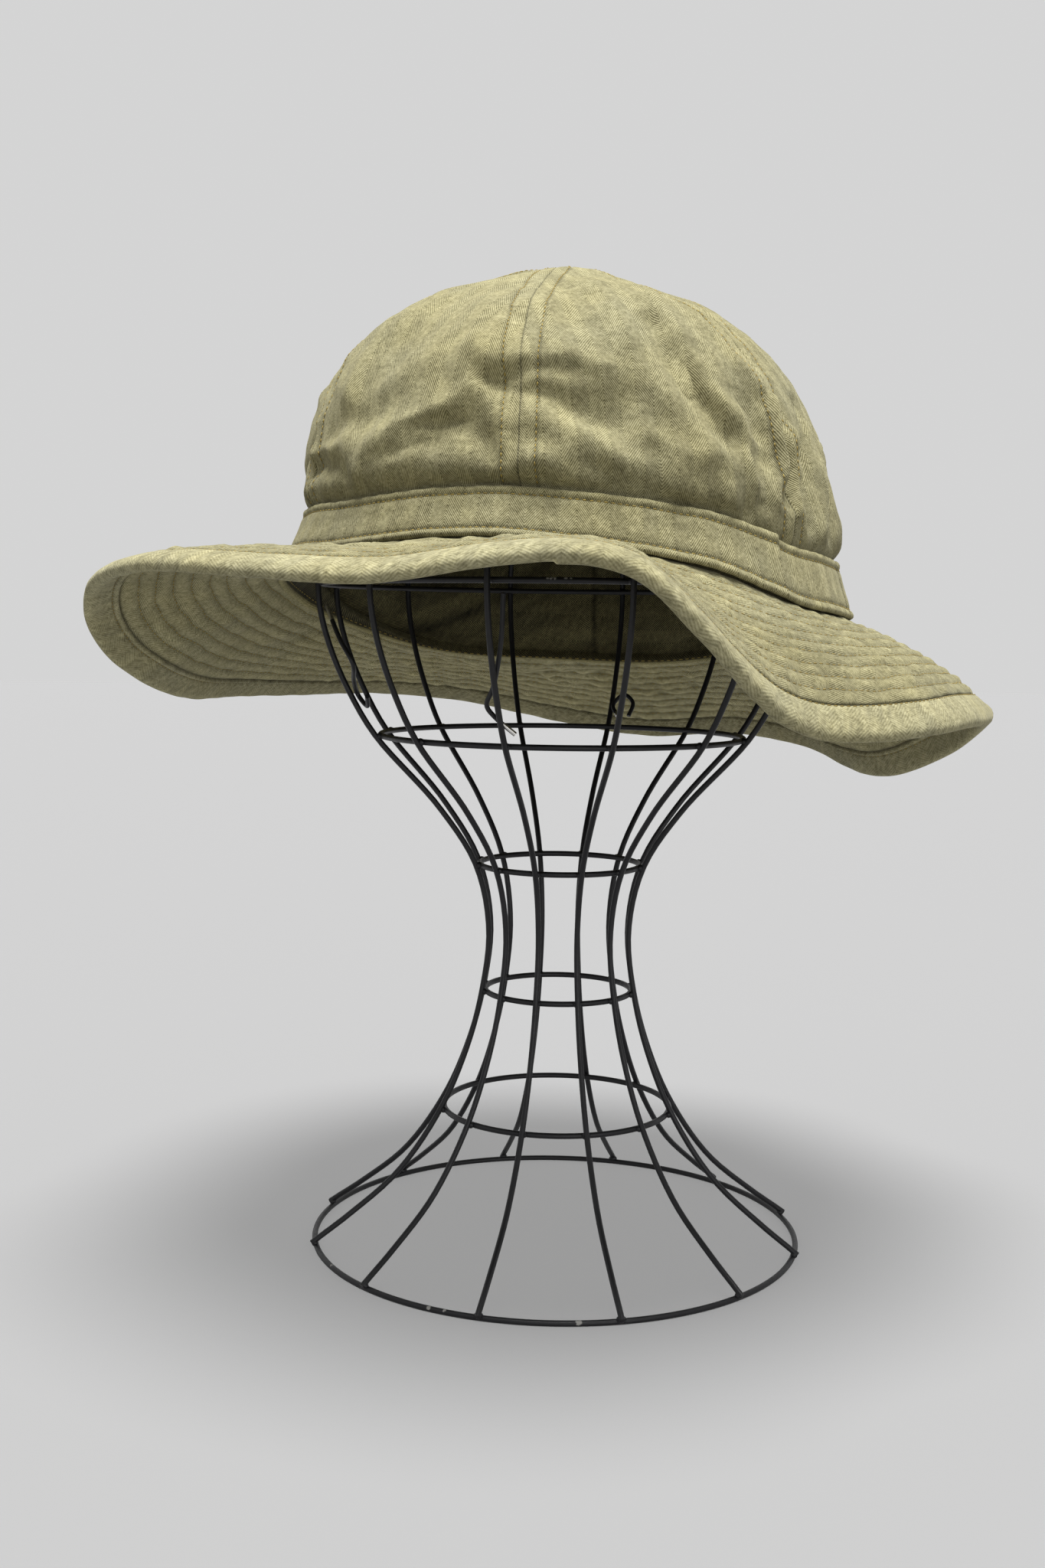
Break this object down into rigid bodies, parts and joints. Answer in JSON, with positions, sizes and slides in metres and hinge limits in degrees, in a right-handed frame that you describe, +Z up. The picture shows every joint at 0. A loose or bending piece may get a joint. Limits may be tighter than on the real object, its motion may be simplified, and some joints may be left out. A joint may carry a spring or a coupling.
{
  "type": "field hat on wire hat stand",
  "caption": "Soft herringbone cloth field hat with a panelled dome crown, flared band and wavy quilted brim, resting on a waisted open cage stand of black wire.",
  "frame": {"origin": "middle of the floor area that the whole object covers, on the floor", "axes": "+Z up; -Y towards the front of the hat, where the brim is raised; +X to the right of someone who looks at the front"},
  "size_m": [0.3146, 0.3206, 0.3404],
  "materials": {
    "cloth": "matt olive khaki herringbone cotton",
    "inner_cloth": "matt olive khaki herringbone cotton, darker inside",
    "black_wire": "black paint, half gloss, a little chipped"
  },
  "bodies": {
    "root": {"crown_panel_1": "cloth", "crown_panel_2": "cloth", "crown_panel_3": "cloth", "crown_panel_4": "cloth", "crown_panel_5": "cloth", "crown_panel_6": "cloth", "hat_band": "cloth", "brim": "cloth", "brim_border": "cloth", "sweatband": "inner_cloth", "stand_base_ring": "black_wire", "stand_ring_low": "black_wire", "stand_ring_waist_low": "black_wire", "stand_ring_waist_high": "black_wire", "stand_ring_high": "black_wire", "stand_ring_shoulder": "black_wire", "stand_top_ring": "black_wire", "stand_rib_01": "black_wire", "stand_rib_02": "black_wire", "stand_rib_03": "black_wire", "stand_rib_04": "black_wire", "stand_rib_05": "black_wire", "stand_rib_06": "black_wire", "stand_rib_07": "black_wire", "stand_rib_08": "black_wire", "stand_rib_09": "black_wire", "stand_rib_10": "black_wire", "stand_rib_11": "black_wire", "stand_rib_12": "black_wire", "wire_clip_left": "black_wire", "wire_clip_front": "black_wire", "wire_clip_back": "black_wire"}
  },
  "joints": []
}
